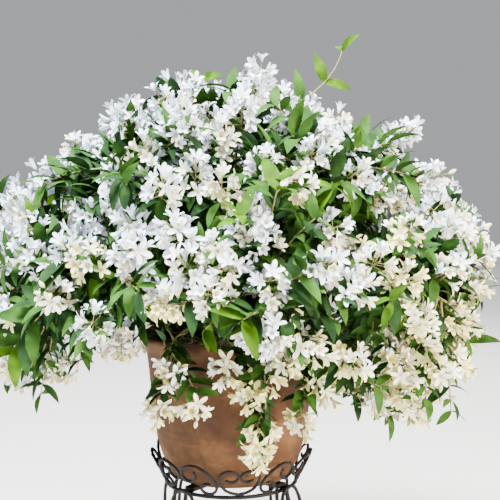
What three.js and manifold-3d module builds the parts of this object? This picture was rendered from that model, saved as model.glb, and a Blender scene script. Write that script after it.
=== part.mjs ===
// A slender deutzia in full flower, growing in a terracotta pot that stands in a wrought iron
// plant stand. Millimetres, +Z up. The origin is on the floor, under the axis of the pot, and
// the side that faces -Y is the front.
//
// The stand is a ring on four legs, with a gallery of scrolls that leans out round the foot of
// the pot. The shrub has many thin canes from one root crown. Each cane carries one mass: a
// stem with twigs, and on the twigs leaves in pairs and clusters of white blossom.

import * as THREE from "three";
import { mergeVertices } from "three/addons/utils/BufferGeometryUtils.js";
import Module from "manifold-3d";

const wasm = await Module();
wasm.setup();

// Driving dimensions of the stand.
const SEAT_GAP = 0.3; // air left between two pieces that touch
const RING_RADIUS = 72; // to the middle of the bar
const RING_BAR = 2.1; // radius of the round bar of the ring
const RING_HEIGHT = 180; // middle of the bar above the floor
const SCROLL_BAR = 1.5; // radius of the wire of the scrolls
const GALLERY_LEAN = THREE.MathUtils.degToRad(27); // outwards from upright
const LEG_BAR = 2.3; // radius of the bars of a leg
const LEG_COUNT = 4;
const STAND_TURN = THREE.MathUtils.degToRad(7); // the stand is turned a little to its right
const FOOT_PAD = { radius: 8, height: 3.5 };
const CROSS_BAR = { width: 12, height: 5.4, sunk: 0.8 }; // sunk into the top of the ring

// Driving dimensions of the pot.
const POT_HEIGHT = 156;
const POT_BELLY = 121; // above this the wall thins towards the rim
const POT_WALL = 7;
const CROSS_BAR_Z = RING_BAR - CROSS_BAR.sunk; // underside, above the middle of the ring
const POT_BASE_Z = RING_HEIGHT + CROSS_BAR_Z + CROSS_BAR.height + SEAT_GAP;
const POT_RIM_Z = POT_BASE_Z + POT_HEIGHT;
const SOIL_DROP = 17; // from the rim down to the soil
const ROUND_STEPS = 26; // facets round the pot

// Driving dimensions of the crown. It is an oval dome, wider from side to side.
const CROWN = {
  halfWidth: 290,
  halfDepth: 226,
  waistZ: 400, // height of its widest part
  domeHeight: 238, // from there to the top
  skirtDrop: 136, // from there to the lowest leaves at the sides
  frontLift: 74, // the skirt hangs this much less in front and behind
  reach: { x: 297, y: 240 }, // no leaf or petal goes further than this
};
// Heights of the crown's outline over its width. The left shoulder is higher than the right one,
// and on the right a dip lies between two bunches.
const OUTLINE = [
  [-300, 470],
  [-208, 532],
  [-165, 562],
  [-120, 606],
  [-60, 624],
  [34, 636],
  [64, 615],
  [100, 598],
  [162, 556],
  [195, 566],
  [240, 520],
  [300, 470],
];
// Heights of the skirt's lower edge over the width. Behind the pot it hangs evenly, and at the
// front left it is drawn up further, so that the soil and the rim of the pot show.
const SKIRT_EDGE = [
  [-300, 330],
  [-255, 295],
  [-215, 300],
  [-165, 330],
  [-125, 356],
  [-60, 372],
  [0, 350],
  [25, 310],
  [110, 282],
  [160, 266],
  [200, 256],
  [240, 264],
  [270, 284],
  [300, 330],
];
const SKIRT_BEHIND = { from: 50, lowest: 312 };
const OPENING = { left: -112, right: -4, lowest: 392 };
// How the crown's skin curves: powers of the cosine and the sine of its slope.
const DOME = { out: 0.91, rise: 1.32 };
const SKIRT = { out: 0.34, rise: 1.2 };
const DOME_SCALE = { least: 0.5, most: 1.6 }; // to meet the outline
const CANE = { foot: 3.4, tip: 2.3, sides: 4, steps: 5 };
const STEM = { foot: 3, tip: 2.3, steps: 3, straight: 5 };
const TWIG = { foot: 1.7, tip: 1.3 };
const LEAF = { length: 58, width: 27, thickness: 1.4, onShoot: 0.62 };
const BLOSSOM = { radius: 28, notch: 17.5, crown: 10, droop: 3, root: 9, points: 5 };
const CELL_MARGIN = 1.2; // half of the air between two masses
const LIMB_MARGIN = 1.6; // air left round a cane
const POT_MARGIN = 4; // air left round the pot
const SHORTEST_TWIG = 16;
const MOST_TRIES = 8; // a shoot that doesn't fit is drawn in by a tenth of its way each time
const TIP_COUNT = 84; // shoots spread over the skin of the crown
const FIRST_SEED = 1795;
const SEED_STEP = 37; // from the seed of one mass to the next
const FACES = { twig: 44, blossom: 54, leaf: 34 }; // the most that joining a piece may add

const UP = new THREE.Vector3(0, 0, 1);
const GOLDEN_ANGLE = Math.PI * (3 - Math.sqrt(5));
const vec = (x, y, z) => new THREE.Vector3(x, y, z);
const mix = THREE.MathUtils.lerp;

// A point at a distance from the pot's axis. Azimuth 0 is the front, and it grows to the right.
function around(azimuth, radius, z) {
  return vec(radius * Math.sin(azimuth), -radius * Math.cos(azimuth), z);
}

// Park and Miller's generator: the same numbers on every run.
function seeded(seed) {
  let state = seed;
  return () => {
    state = (state * 16807) % 2147483647;
    return state / 2147483647;
  };
}

// Joining and cutting of closed meshes.
const MERGE_DISTANCE = 1e-3;

function solid(geometry) {
  const bare = geometry.index ? geometry.toNonIndexed() : geometry.clone();
  bare.deleteAttribute("normal");
  bare.deleteAttribute("uv");
  const merged = mergeVertices(bare, MERGE_DISTANCE);
  return new wasm.Manifold(
    new wasm.Mesh({
      numProp: 3,
      vertProperties: merged.attributes.position.array,
      triVerts: new Uint32Array(merged.index.array),
    }),
  );
}

function geometryOf(manifold) {
  const mesh = manifold.getMesh();
  const geometry = new THREE.BufferGeometry();
  geometry.setAttribute("position", new THREE.BufferAttribute(mesh.vertProperties, 3));
  geometry.setIndex(new THREE.BufferAttribute(mesh.triVerts, 1));
  const shown = geometry.toNonIndexed();
  shown.computeVertexNormals();
  return shown;
}

function join(geometries) {
  return geometries.map(solid).reduce((whole, piece) => whole.add(piece));
}

// What is left of a fused mass once loose scraps are dropped and sealed hollows are filled. It is
// done twice, because the merging of close corners can pinch off a scrap of its own.
function largestBody(manifold) {
  const largest = (whole) => whole.decompose().reduce((a, b) => (a.volume() > b.volume() ? a : b));
  return largest(solid(geometryOf(largest(manifold))));
}

function closedMesh(positions, triangles) {
  const geometry = new THREE.BufferGeometry();
  const flat = positions.flatMap((p) => p.toArray());
  geometry.setAttribute("position", new THREE.Float32BufferAttribute(flat, 3));
  geometry.setIndex(triangles.flat());
  return geometry;
}

// A limb or a bar: a polygon carried along a line of points, with a radius at each point. The
// section is turned from each point to the next by the smallest turn that follows the line.
function limb(points, radii, sides) {
  const ring = [];
  const positions = [];
  const triangles = [];
  const last = points.length - 1;
  const tangent = (i) =>
    points[Math.min(i + 1, last)].clone().sub(points[Math.max(i - 1, 0)]).normalize();
  let along = tangent(0);
  let side = Math.abs(along.z) < 0.9 ? UP.clone() : vec(1, 0, 0);
  side.addScaledVector(along, -side.dot(along)).normalize();
  points.forEach((point, i) => {
    const next = tangent(i);
    side.applyQuaternion(new THREE.Quaternion().setFromUnitVectors(along, next));
    along = next;
    const across = along.clone().cross(side);
    const radius = Array.isArray(radii) ? radii[i] : radii;
    ring.push(positions.length);
    for (let k = 0; k < sides; k++) {
      const angle = (2 * Math.PI * k) / sides;
      const corner = point
        .clone()
        .addScaledVector(side, radius * Math.cos(angle))
        .addScaledVector(across, radius * Math.sin(angle));
      positions.push(corner);
    }
  });
  for (let i = 0; i < last; i++)
    for (let k = 0; k < sides; k++) {
      const [a, b] = [ring[i] + k, ring[i] + ((k + 1) % sides)];
      triangles.push([a, b, b + sides], [a, b + sides, a + sides]);
    }
  for (let k = 1; k < sides - 1; k++) {
    triangles.push([ring[0], ring[0] + k + 1, ring[0] + k]);
    triangles.push([ring[last], ring[last] + k, ring[last] + k + 1]);
  }
  return closedMesh(positions, triangles);
}

// Materials, in the colours of the real thing.
const iron = new THREE.MeshStandardMaterial({ color: 0x1d1a19, roughness: 0.55, metalness: 0.7 });
const terracotta = new THREE.MeshStandardMaterial({ color: 0xb87350, roughness: 0.9 });
const pottingSoil = new THREE.MeshStandardMaterial({ color: 0x2c211b, roughness: 1 });
const bark = new THREE.MeshStandardMaterial({ color: 0x7d6245, roughness: 0.9 });
const blossomAndLeaf = new THREE.MeshStandardMaterial({ color: 0xc9d3bd, roughness: 0.7 });

function part(name, geometry, material) {
  const mesh = new THREE.Mesh(geometry, material);
  mesh.name = name;
  return mesh;
}

// The ring is one bar bent round, with two flat bars across it that the pot sits on.
function standRing() {
  const bar = new THREE.TorusGeometry(RING_RADIUS, RING_BAR, 5, 32);
  const bars = [0.25, 0.75].map((share) =>
    new THREE.BoxGeometry(2 * RING_RADIUS - 3, CROSS_BAR.width, CROSS_BAR.height)
      .translate(0, 0, CROSS_BAR_Z + CROSS_BAR.height / 2)
      .rotateZ(share * Math.PI),
  );
  const mesh = part("stand_ring", geometryOf(join([bar, ...bars])), iron);
  mesh.position.z = RING_HEIGHT;
  return mesh;
}

// Scrolls are drawn flat, as the smith bends them: u runs along the ring and v up the gallery.
// Both outlines are for the left side of a heart, and the right side mirrors them. The heart's
// foot reaches just past the middle, so that its two halves join there.
const HEART_HALF = [
  [1.2, 3.9],
  [-10, 6.8],
  [-17, 12],
  [-20.8, 21.3],
  [-18.6, 31],
  [-12, 35.6],
  [-4.6, 33.6],
  [-1, 27.7],
  [-6.6, 21],
  [-15, 23.5],
];
const SIDE_SCROLL = [
  [-47.1, 32.4],
  [-47.5, 23.8],
  [-55.7, 17.8],
  [-62.3, 23],
  [-61.4, 31],
  [-53.4, 38.4],
  [-43.4, 39.8],
  [-31.6, 30.6],
  [-25.4, 18.6],
  [-25, 10.3],
  [-30.8, 4.4],
  [-38.4, 4.4],
  [-42.6, 9.4],
  [-38.9, 15.8],
  [-30.2, 17.6],
];
const GALLERY_UNROLL = 82; // radius at which u is measured
const WIRE_SIDES = 4;

// Rolls a flat outline into the leaning gallery and lays a wire along it.
function scrollWire(outline, sections, sideways, turn) {
  const rolled = outline.map(([u, v]) =>
    around(
      turn + (sideways * u) / GALLERY_UNROLL,
      RING_RADIUS + v * Math.sin(GALLERY_LEAN),
      RING_HEIGHT + v * Math.cos(GALLERY_LEAN),
    ),
  );
  const line = new THREE.CatmullRomCurve3(rolled, false, "centripetal");
  return limb(line.getSpacedPoints(sections), SCROLL_BAR, WIRE_SIDES);
}

// A quarter of the gallery: a heart, with a scroll on each side of it.
function galleryQuarter(index) {
  const turn = (index * 2 * Math.PI) / LEG_COUNT;
  const heart = join([1, -1].map((sideways) => scrollWire(HEART_HALF, 12, sideways, turn)));
  return [
    part(`gallery_heart_${index + 1}`, geometryOf(heart), iron),
    part(`gallery_scroll_left_${index + 1}`, scrollWire(SIDE_SCROLL, 19, 1, turn), iron),
    part(`gallery_scroll_right_${index + 1}`, scrollWire(SIDE_SCROLL, 19, -1, turn), iron),
  ];
}

// A leg is a curved rod with a narrow hoop outside it, on a small flat pad. Seen from the side
// the rod stands against the ring, bends out below it, in at the shin and out at the foot.
const ROD_SIDES = 5;
const LEG_TOP_RADIUS =
  RING_RADIUS + RING_BAR + SEAT_GAP + LEG_BAR * Math.cos(Math.PI / ROD_SIDES);
const LEG_TOP = [LEG_TOP_RADIUS, RING_HEIGHT + 5];
const SHIN = [
  [LEG_TOP_RADIUS, RING_HEIGHT - 4],
  [LEG_TOP_RADIUS + 7, RING_HEIGHT - 24],
  [LEG_TOP_RADIUS + 9, RING_HEIGHT - 52],
  [LEG_TOP_RADIUS + 3, RING_HEIGHT - 98],
  [LEG_TOP_RADIUS + 2, RING_HEIGHT - 132],
  [LEG_TOP_RADIUS + 12, RING_HEIGHT - 162],
  [LEG_TOP_RADIUS + 25, FOOT_PAD.height - 1],
];
const HOOP = { halfWidth: 14, outside: 3.6, shoulder: RING_HEIGHT - 9, end: 44, steps: 4 };

function leg(index) {
  const side = new THREE.SplineCurve(SHIN.map(([r, z]) => new THREE.Vector2(r, z)));
  const rodLine = [new THREE.Vector2(...LEG_TOP), ...side.getPoints(10)];
  const rod = limb(rodLine.map((p) => vec(p.x, 0, p.y)), LEG_BAR, ROD_SIDES);
  const radiusAt = (z) => {
    const below = rodLine.findIndex((p) => p.y <= z);
    const [a, b] = [rodLine[Math.max(below - 1, 0)], rodLine[Math.max(below, 1)]];
    return mix(a.x, b.x, THREE.MathUtils.clamp((z - a.y) / (b.y - a.y), 0, 1));
  };
  const prong = [];
  for (let i = 0; i <= HOOP.steps; i++) {
    const share = i / HOOP.steps;
    const z = mix(HOOP.end, HOOP.shoulder, share);
    prong.push(vec(radiusAt(z) + HOOP.outside, HOOP.halfWidth * Math.sqrt(share) + 0.4, z));
  }
  const bend = [30, 62, 90].map((degrees) => {
    const angle = THREE.MathUtils.degToRad(degrees);
    const z = HOOP.shoulder + HOOP.halfWidth * Math.sin(angle);
    return vec(radiusAt(z) + HOOP.outside, HOOP.halfWidth * Math.cos(angle) + 0.4, z);
  });
  const half = [...prong, ...bend.slice(0, 2)];
  const mirrored = half.map((p) => vec(p.x, -p.y, p.z)).reverse();
  const hoop = limb([...half, vec(bend[2].x, 0, bend[2].z), ...mirrored], LEG_BAR * 0.85, WIRE_SIDES);
  const pad = new THREE.CylinderGeometry(FOOT_PAD.radius, FOOT_PAD.radius, FOOT_PAD.height, 10)
    .rotateX(Math.PI / 2)
    .translate(SHIN.at(-1)[0], 0, FOOT_PAD.height / 2);
  const mesh = part(`leg_${index + 1}`, geometryOf(join([rod, hoop, pad])), iron);
  mesh.rotation.z = ((index + 0.5) * 2 * Math.PI) / LEG_COUNT;
  return mesh;
}

// The pot is thrown: a narrow foot, a round belly low down and a lip that turns out.
const POT_OUTSIDE = [
  [63, 0],
  [66.5, 3],
  [75.5, 22],
  [81.5, 42],
  [87, 80],
  [91, POT_BELLY],
  [94, POT_HEIGHT - 16],
  [99, POT_HEIGHT - 7],
  [100, POT_HEIGHT - 3],
  [98, POT_HEIGHT],
];

function potOutsideRadius(height) {
  const above = POT_OUTSIDE.findIndex(([, z]) => z >= height);
  if (above <= 0) return POT_OUTSIDE[above < 0 ? POT_OUTSIDE.length - 1 : 0][0];
  const [[r0, z0], [r1, z1]] = [POT_OUTSIDE[above - 1], POT_OUTSIDE[above]];
  return mix(r0, r1, (height - z0) / (z1 - z0));
}

const POT_INSIDE = [POT_WALL, 22, 42, POT_BELLY, POT_HEIGHT - 3].map((z) => [
  potOutsideRadius(Math.min(z, POT_BELLY)) - POT_WALL + Math.max(0, z - POT_BELLY) * 0.06,
  z,
]);

function lathe(profile, steps = ROUND_STEPS) {
  const closed = [[0, profile[0][1]], ...profile, [0, profile.at(-1)[1]]];
  const points = closed.map(([r, z]) => new THREE.Vector2(r, z));
  return new THREE.LatheGeometry(points, steps).rotateX(Math.PI / 2);
}

function pot() {
  const lip = [[91.5, POT_HEIGHT]];
  const profile = [...POT_OUTSIDE, ...lip, ...POT_INSIDE.toReversed()];
  const mesh = part("terracotta_pot", lathe(profile), terracotta);
  mesh.position.z = POT_BASE_Z;
  return mesh;
}

const SOIL_Z = POT_RIM_Z - SOIL_DROP; // soil level at the wall of the pot
const SOIL_TOP_Z = SOIL_Z + 5; // and under the shrub
const ROOT_CROWN = { radius: 31, top: 27, height: 9 };

function soil() {
  const top = POT_HEIGHT - SOIL_DROP;
  const shrunk = POT_INSIDE.filter(([, z]) => z < top).map(([r, z], i) => [
    r - 0.6,
    i ? z : z + SEAT_GAP,
  ]);
  const profile = [...shrunk, [shrunk.at(-1)[0] + 0.5, top], [ROOT_CROWN.radius + 6, top + 5]];
  const mesh = part("potting_soil", lathe(profile), pottingSoil);
  mesh.position.z = POT_BASE_Z;
  return mesh;
}

// The stool that all canes spring from: a low boss with a flat top.
function rootCrown() {
  const profile = [
    [ROOT_CROWN.radius, 0],
    [ROOT_CROWN.radius - 1, 4],
    [ROOT_CROWN.top, ROOT_CROWN.height],
  ];
  const mesh = part("root_crown", lathe(profile, 12), bark);
  mesh.position.z = SOIL_TOP_Z + SEAT_GAP;
  return mesh;
}
const CANE_FOOT_Z = SOIL_TOP_Z + ROOT_CROWN.height + 2 * SEAT_GAP;

// The height of a line of corners over x.
function heightOver(line, x) {
  const next = line.findIndex(([at]) => at >= x);
  const [[x0, z0], [x1, z1]] = [line[next - 1], line[next]];
  return mix(z0, z1, (x - x0) / (x1 - x0));
}

function plainDome(rise) {
  return CROWN.domeHeight * Math.pow(rise, DOME.rise);
}

// A plain dome, scaled so that its highest point over each x meets the outline.
function dome(x, rise) {
  const share = Math.min(Math.abs(x) / CROWN.halfWidth, 0.97);
  const highest = plainDome(Math.sin(Math.acos(Math.pow(share, 1 / DOME.out))));
  const scale = (heightOver(OUTLINE, x) - CROWN.waistZ) / highest;
  return plainDome(rise) * THREE.MathUtils.clamp(scale, DOME_SCALE.least, DOME_SCALE.most);
}

// The skin of the crown at a slope from -90 degrees, its underside, to 90 degrees, its top.
function skin(slope, azimuth) {
  const rise = Math.sin(slope);
  const out = Math.pow(Math.max(Math.cos(slope), 0), rise > 0 ? DOME.out : SKIRT.out);
  const facing = Math.pow(Math.abs(Math.cos(azimuth)), 3);
  const drop = CROWN.skirtDrop - CROWN.frontLift * facing;
  const x = CROWN.halfWidth * out * Math.sin(azimuth);
  const height = rise > 0 ? dome(x, rise) : -drop * Math.pow(-rise, SKIRT.rise);
  return vec(x, -CROWN.halfDepth * out * Math.cos(azimuth), CROWN.waistZ + height);
}

// Whether a point is over the skirt's lower edge and outside the opening at the front.
function aboveSkirt({ x, y, z }) {
  const opened = x > OPENING.left && x < OPENING.right && y < 0 && z < OPENING.lowest;
  const edge = heightOver(SKIRT_EDGE, x);
  return !opened && z > (y > SKIRT_BEHIND.from ? Math.min(edge, SKIRT_BEHIND.lowest) : edge);
}

// The middle of each mass, and its cane: how far from the axis the cane springs from the root
// crown, what share of the way out to the middle it ends at, and how far above or below it. A
// mass keeps to the space that is nearer to its middle than to any other.
const DEGREE = Math.PI / 180;
const CANE_TO = {
  top: { foot: 0, share: 0.45, rise: -62 },
  upper: { foot: 9, share: 0.45, rise: -62 },
  outer: { foot: 16.5, share: 0.6, rise: 18 },
  hanging: { foot: 23.5, share: 0.76, rise: 66 },
};

function ringOfMasses(kind, count, share, z, start) {
  return Array.from({ length: count }, (_, k) => {
    const azimuth = start + (k * 2 * Math.PI) / count;
    const middle = vec(
      CROWN.halfWidth * share * Math.sin(azimuth),
      -CROWN.halfDepth * share * Math.cos(azimuth),
      z,
    );
    return { kind, name: `${kind}_${k + 1}`, middle };
  });
}

// Hanging masses fall over the rim of the pot, each to a height of its own.
const HANGING = [
  { at: -29, lowest: 260 },
  { at: 16, lowest: 226 },
  { at: 45, lowest: 242 },
  { at: 112, lowest: 262 },
  { at: 180, lowest: 236 },
  { at: 215, lowest: 262 },
];
const MASSES = [
  { kind: "top", name: "top", middle: vec(6, 4, 556) },
  ...ringOfMasses("upper", 4, 0.5, 510, 45 * DEGREE),
  ...ringOfMasses("outer", 7, 0.79, 392, 8 * DEGREE),
  ...HANGING.map(({ at, lowest }, k) => ({
    kind: "hanging",
    name: `hanging_${k + 1}`,
    middle: around(at * DEGREE, 128, 288),
    lowest,
  })),
].map((mass) => ({ ...mass, azimuth: Math.atan2(mass.middle.x, -mass.middle.y) }));

// Shoots that stand out of the dome. Three end in blossom, and two are leafy only.
const WAYWARD = [
  { tip: vec(33, -20, 652), leafy: false },
  { tip: vec(-166, -30, 584), leafy: false },
  { tip: vec(186, -10, 582), leafy: false },
  { tip: vec(122, 8, 645), leafy: true },
  { tip: vec(-40, 120, 634), leafy: true },
];

function inCell(index, point, margin = CELL_MARGIN) {
  const own = MASSES[index].middle;
  return MASSES.every(({ middle }, k) => {
    if (k === index) return true;
    const towards = middle.clone().sub(own);
    const halfway = middle.clone().add(own).multiplyScalar(0.5);
    const beyond = point.clone().sub(halfway).dot(towards) / towards.length();
    return beyond < -margin;
  });
}

// A cane rises from the root crown and arches out to where the stem of its mass takes over.
function caneLine({ kind, middle, azimuth }) {
  const { foot, share, rise } = CANE_TO[kind];
  const from = around(azimuth, foot, CANE_FOOT_Z);
  const to = vec(middle.x * share, middle.y * share, middle.z + rise);
  const knee = vec(mix(from.x, to.x, 0.3), mix(from.y, to.y, 0.3), mix(from.z, to.z, 0.8));
  if (kind === "hanging") knee.copy(around(azimuth, 52, POT_RIM_Z + 24));
  return new THREE.QuadraticBezierCurve3(from, knee, to);
}
const caneLines = MASSES.map(caneLine);
const caneSamples = caneLines.map((line) => line.getPoints(40)); // for the tests of distance

// The cane's foot is cut level, so that it stands flat on the root crown.
function cane(mass, index) {
  const points = caneLines[index].getPoints(CANE.steps);
  const radii = points.map((_, i) => mix(CANE.foot, CANE.tip, i / CANE.steps));
  const below = new THREE.BoxGeometry(8 * CANE.foot, 8 * CANE.foot, 4 * CANE.foot);
  below.translate(points[0].x, points[0].y, points[0].z - 2 * CANE.foot);
  points[0].z -= CANE.foot;
  const cut = solid(limb(points, radii, CANE.sides)).subtract(solid(below));
  return part(`cane_${mass.name}`, geometryOf(cut), bark);
}

// A flat box round a leaf or a blossom, told by its place and three directions, must keep clear
// of every cane, of the pot and of the neighbouring masses.
function fits(index, { corners, frame, size }) {
  if (!corners.every((corner) => inReach(corner) && inCell(index, corner))) return false;
  const inBox = (point) => {
    const offset = point.clone().sub(frame.origin);
    return (
      Math.abs(offset.dot(frame.x)) < size.x &&
      Math.abs(offset.dot(frame.y)) < size.y &&
      Math.abs(offset.dot(frame.z)) < size.z
    );
  };
  if (caneSamples.some((samples) => samples.some(inBox))) return false;
  const middle = frame.origin;
  return [...corners, ...corners.map((c) => c.clone().lerp(middle, 0.5)), middle].every(clearOfPot);
}

function inReach(point) {
  return Math.abs(point.x) < CROWN.reach.x && Math.abs(point.y) < CROWN.reach.y;
}

function clearOfPot(point) {
  const height = point.z - POT_BASE_Z;
  if (height > POT_HEIGHT + POT_MARGIN) return true;
  const distance = Math.hypot(point.x, point.y);
  return distance > potOutsideRadius(Math.max(height, 0)) + POT_MARGIN;
}

// A twig may pass a cane or the pot no closer than this.
function twigFits(index, from, to, radius) {
  for (let step = 1; step <= 10; step++) {
    const point = from.clone().lerp(to, step / 10);
    if (!inCell(index, point, CELL_MARGIN + radius)) return false;
    if (!clearOfPot(point)) return false;
    const near = CANE.foot + radius + LIMB_MARGIN;
    if (caneSamples.some((s) => s.some((p) => p.distanceTo(point) < near))) return false;
  }
  return true;
}

// A leaf is a blade with a raised midrib: eight faces between its foot, tip, two sides, rib
// and back. Its foot is sunk in the twig.
function leaf(foot, along, face, scale) {
  const side = face.clone().cross(along).normalize();
  const normal = along.clone().cross(side);
  const at = (l, w, t) =>
    foot.clone().addScaledVector(along, l).addScaledVector(side, w).addScaledVector(normal, t);
  const { thickness } = LEAF;
  const [length, width] = [LEAF.length * scale, LEAF.width * scale];
  const corners = [
    at(-0.4, 0, 0),
    at(length, 0, 0),
    at(length * 0.42, width / 2, 0),
    at(length * 0.42, -width / 2, 0),
    at(length * 0.12, 0, thickness),
    at(length * 0.12, 0, -thickness),
  ];
  const [root, tip, left, right, rib, back] = [0, 1, 2, 3, 4, 5];
  const triangles = [
    [root, right, rib],
    [right, tip, rib],
    [tip, left, rib],
    [left, root, rib],
    [right, root, back],
    [tip, right, back],
    [left, tip, back],
    [root, left, back],
  ];
  const frame = { origin: at(length / 2, 0, 0), x: along, y: side, z: normal };
  const room = CANE.foot + LIMB_MARGIN;
  const size = vec(length / 2 + room, width / 2 + room, thickness + room);
  return { corners, triangles, frame, size };
}

// A cluster of blossom is one star with five petals, domed in front. Its back runs down to a root.
function blossom(centre, facing, spin) {
  const side = vec(facing.y, facing.z, facing.x).cross(facing).normalize();
  const across = facing.clone().cross(side);
  const corners = [
    centre.clone().addScaledVector(facing, BLOSSOM.crown),
    centre.clone().addScaledVector(facing, -BLOSSOM.root),
  ];
  const rim = 2 * BLOSSOM.points;
  for (let k = 0; k < rim; k++) {
    const angle = spin + (2 * Math.PI * k) / rim;
    const radius = k % 2 ? BLOSSOM.notch : BLOSSOM.radius;
    corners.push(
      centre
        .clone()
        .addScaledVector(side, radius * Math.cos(angle))
        .addScaledVector(across, radius * Math.sin(angle))
        .addScaledVector(facing, k % 2 ? 0 : -BLOSSOM.droop),
    );
  }
  const triangles = [];
  for (let k = 0; k < rim; k++) {
    const [a, b] = [2 + k, 2 + ((k + 1) % rim)];
    triangles.push([0, a, b], [1, b, a]);
  }
  const frame = { origin: centre, x: side, y: across, z: facing };
  const room = CANE.foot + LIMB_MARGIN;
  const size = vec(BLOSSOM.radius + room, BLOSSOM.radius + room, BLOSSOM.root + room);
  return { corners, triangles, frame, size };
}

// Tips are spread evenly over the skin: equal bands of area, each turned on by the golden
// angle. The underside has tips only near the edge, where the pot doesn't hide it.
function skinTips(count) {
  const bands = 240;
  const slopes = Array.from({ length: bands + 1 }, (_, i) => mix(90, -62, i / bands) * DEGREE);
  const areas = [0];
  for (let i = 1; i <= bands; i++) {
    const [a, b] = [skin(slopes[i - 1], Math.PI / 4), skin(slopes[i], Math.PI / 4)];
    areas.push(areas[i - 1] + a.distanceTo(b) * Math.hypot(a.x + b.x, a.y + b.y));
  }
  return Array.from({ length: count }, (_, k) => {
    const wanted = ((k + 0.5) / count) * areas[bands];
    const i = areas.findIndex((area) => area >= wanted);
    const share = (wanted - areas[i - 1]) / (areas[i] - areas[i - 1]);
    return skin(mix(slopes[i - 1], slopes[i], share), k * GOLDEN_ANGLE);
  });
}

function nearestMass(point) {
  const away = MASSES.map(({ middle }) => middle.distanceTo(point));
  return away.indexOf(Math.min(...away));
}

// Every mass gets the tips in its space. A hanging mass has tips of its own, down to its lowest.
function tipsOf(index, spread, random) {
  const mass = MASSES[index];
  if (mass.kind === "hanging")
    return [0, 1, 2, 3, 4].map((k) => {
      const azimuth = mass.azimuth + (k % 2 ? 1 : -1) * (0.1 + 0.14 * random());
      return { tip: around(azimuth, 133 + 14 * random(), mix(mass.lowest + 16, 318, k / 4)) };
    });
  const own = spread.filter((tip) => nearestMass(tip) === index && aboveSkirt(tip));
  const wayward = WAYWARD.filter(({ tip }) => nearestMass(tip) === index);
  return [...own.map((tip) => ({ tip })), ...wayward];
}

// A mass: the stem goes on from its cane, and a twig leaves it for each tip. A twig carries
// pairs of leaves and ends in blossom. What would leave the space is shortened or skipped, and
// so is what would cut through its neighbours, which shows in the faces that joining it adds.
function massOf(mass, index, spread) {
  const random = seeded(FIRST_SEED + index * SEED_STEP);
  const [nearTip, tipOfCane] = caneLines[index].getPoints(CANE.steps).slice(-2);
  const heading = tipOfCane.clone().sub(nearTip).normalize();
  const start = tipOfCane.clone().addScaledVector(heading, SEAT_GAP);
  const hanging = mass.kind === "hanging";
  const end = hanging
    ? around(mass.azimuth, 131, mass.lowest + 50)
    : start.clone().lerp(mass.middle, 1.25);
  const bend = hanging
    ? around(mass.azimuth, 126, POT_RIM_Z + 12)
    : start.clone().addScaledVector(heading, start.distanceTo(end) * 0.5);
  const stem = new THREE.QuadraticBezierCurve3(start, bend, end);
  const stemPoints = stem.getPoints(STEM.steps);
  stemPoints.splice(1, 0, start.clone().addScaledVector(heading, STEM.straight));
  const stemRadii = stemPoints.map((_, i) => mix(STEM.foot, STEM.tip, i / (STEM.steps + 1)));
  let whole = solid(limb(stemPoints, stemRadii, 4));
  const add = (geometry, mostFaces) => {
    const joined = whole.add(solid(geometry));
    if (joined.numTri() - whole.numTri() > mostFaces) return false;
    whole = joined;
    return true;
  };
  const addPlate = (plate, mostFaces) =>
    fits(index, plate) && add(closedMesh(plate.corners, plate.triangles), mostFaces);
  const reach = end.clone().sub(start);
  const tips = tipsOf(index, spread, random).sort((a, b) => a.tip.dot(reach) - b.tip.dot(reach));
  tips.forEach(({ tip, leafy }, rank) => {
    const from = stem.getPoint(mix(0.2, 0.96, (rank + 0.5) / tips.length));
    const spin = random() * 2;
    let [to, way, outwards, bloom] = [tip.clone()];
    for (let tries = 0; tries < MOST_TRIES; tries++, to.lerp(mass.middle, 0.1)) {
      way = to.clone().sub(from).normalize();
      outwards = vec(to.x, to.y, to.z - CROWN.waistZ + 120).normalize();
      const facing = way.clone().multiplyScalar(0.6).add(outwards).normalize();
      bloom = blossom(to.clone().addScaledVector(facing, BLOSSOM.root * 0.35), facing, spin);
      if (twigFits(index, from, to, TWIG.foot) && (leafy || fits(index, bloom))) break;
    }
    if (from.distanceTo(to) < SHORTEST_TWIG || !twigFits(index, from, to, TWIG.foot)) return;
    if (!add(limb([from, to], [TWIG.foot, TWIG.tip], 3), FACES.twig)) return;
    if (!leafy) addPlate(bloom, FACES.blossom);
    const level = vec(way.y, way.z, way.x).cross(way).normalize();
    for (const place of leafy ? [0.5, 0.75, 0.97] : [0.62]) {
      const foot = from.clone().lerp(to, place);
      const turn = random() * Math.PI;
      for (const side of [0, Math.PI]) {
        const leafFits = (twist) => {
          const out = level.clone().applyAxisAngle(way, turn + side + twist);
          const along = out.addScaledVector(way, 0.55).normalize();
          return addPlate(leaf(foot, along, outwards, leafy ? LEAF.onShoot : 1), FACES.leaf);
        };
        [0, 0.7, -0.7, 1.4].some(leafFits);
      }
    }
  });
  return part(`mass_${mass.name}`, geometryOf(largestBody(whole)), blossomAndLeaf);
}

const plant = new THREE.Group();
const stand = new THREE.Group();
stand.rotation.z = STAND_TURN;
stand.add(standRing());
for (let index = 0; index < LEG_COUNT; index++) {
  stand.add(...galleryQuarter(index));
  stand.add(leg(index));
}
const spread = skinTips(TIP_COUNT);
plant.add(stand, pot(), soil(), rootCrown());
MASSES.forEach((mass, index) => plant.add(cane(mass, index), massOf(mass, index, spread)));

export default plant;
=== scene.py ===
# %% [markdown]
# # A slender deutzia in full flower, in a terracotta pot on a wrought iron stand
#
# A garden shrub of thin canes and arching shoots, covered in white racemes, grows in a thrown pot
# that sits in a stand with a gallery of scrolls. Each piece is a surface worked out with numpy, in
# millimetres, and put into Blender in metres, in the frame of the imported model.

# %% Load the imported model
import math

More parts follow.
